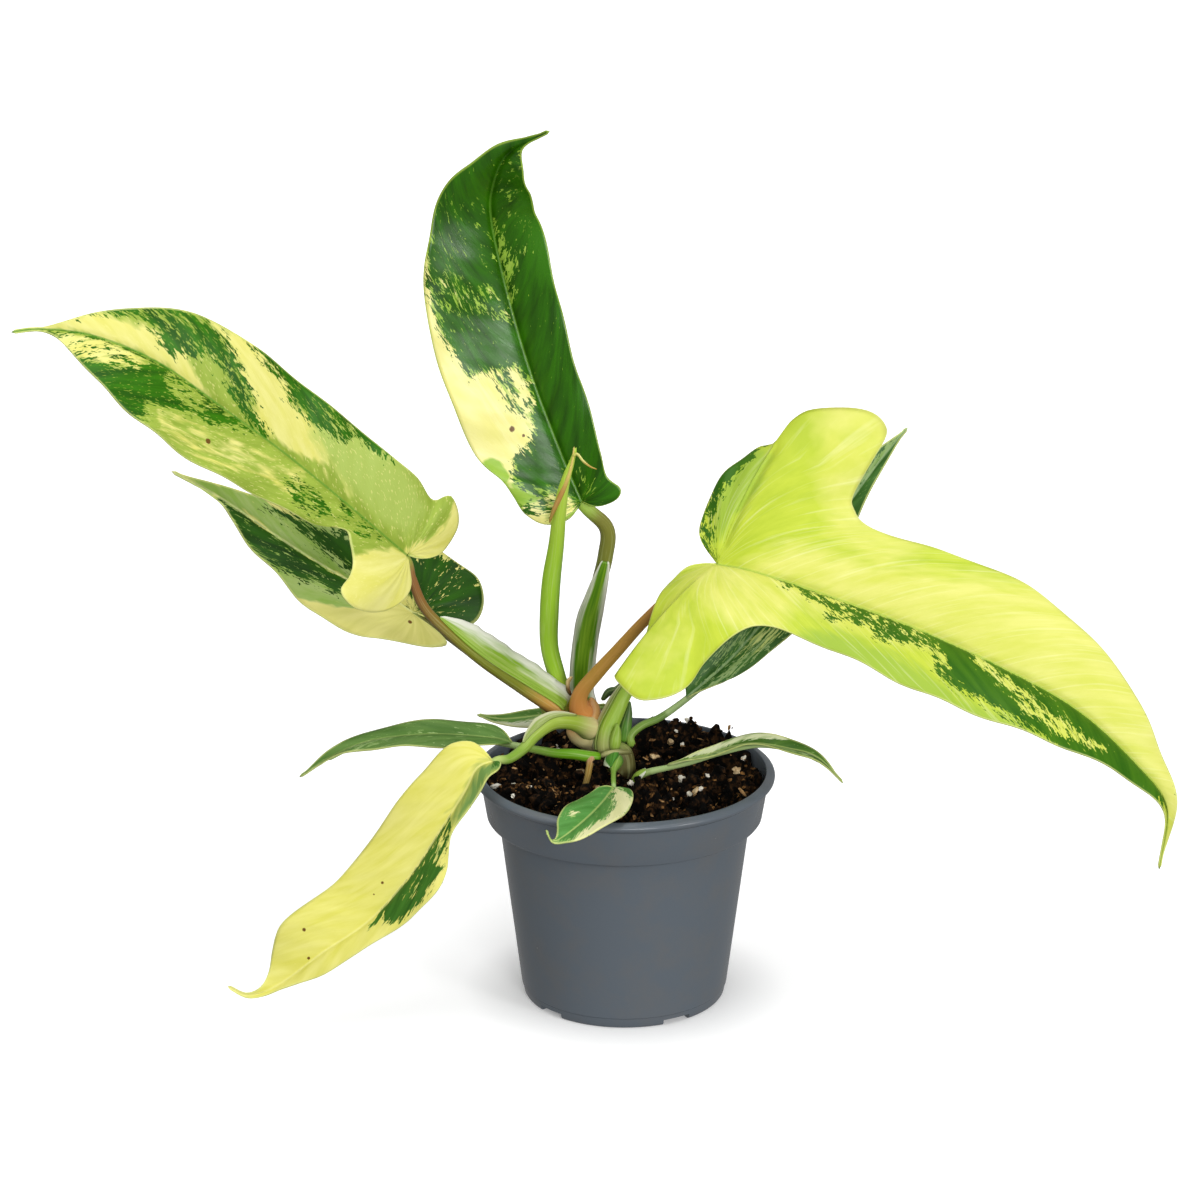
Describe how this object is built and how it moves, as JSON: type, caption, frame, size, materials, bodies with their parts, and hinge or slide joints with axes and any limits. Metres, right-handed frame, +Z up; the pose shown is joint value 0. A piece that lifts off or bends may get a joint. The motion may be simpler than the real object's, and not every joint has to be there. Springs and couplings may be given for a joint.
{
  "type": "potted philodendron",
  "caption": "Variegated philodendron with long arching leaves, growing in a tapered nursery pot of soil.",
  "frame": {"origin": "centre of the flat pad under the pot, on the surface the pot stands on", "axes": "+Z up along the pot's axis, -Y towards the plant's front, +X towards the tip of its largest lime leaf"},
  "size_m": [0.4431, 0.1486, 0.3531],
  "materials": {
    "pot_plastic": "satin moulded grey",
    "potting_mix": "loose damp peat and bark, near black",
    "crown_tissue": "smooth tan to olive stem tissue",
    "stalk_green": "smooth, waxy green",
    "stalk_orange": "smooth, waxy orange brown",
    "new_leaf": "glossy young leaf, rolled up",
    "leaf_variegated": "satin, cream and dark green variegation",
    "leaf_lime": "satin lime yellow with a dark green stripe",
    "leaf_green": "satin, dark green with pale flecks",
    "dry_tissue": "dry, matt brown"
  },
  "bodies": {
    "root": {"pot": "pot_plastic", "potting_soil": "potting_mix", "crown_main": "crown_tissue", "crown_side": "crown_tissue", "blade_upper_left": "leaf_variegated", "stalk_upper_left": "stalk_green", "blade_rear_left": "leaf_variegated", "stalk_rear_left": "stalk_green", "blade_top": "leaf_variegated", "stalk_top": "stalk_green", "blade_right": "leaf_lime", "stalk_right": "stalk_orange", "blade_rear_right": "leaf_green", "stalk_rear_right": "stalk_green", "blade_left": "leaf_green", "stalk_left": "stalk_green", "blade_hanging": "leaf_variegated", "stalk_hanging": "stalk_green", "blade_rear_small": "leaf_green", "stalk_rear_small": "stalk_green", "blade_low_right": "leaf_green", "stalk_low_right": "stalk_green", "blade_front": "leaf_green", "stalk_front": "stalk_green", "blade_hidden": "leaf_green", "stalk_hidden": "stalk_green", "new_leaf_spear": "new_leaf", "side_bud": "stalk_green", "aerial_root": "dry_tissue", "dry_scale": "dry_tissue"}
  },
  "joints": []
}
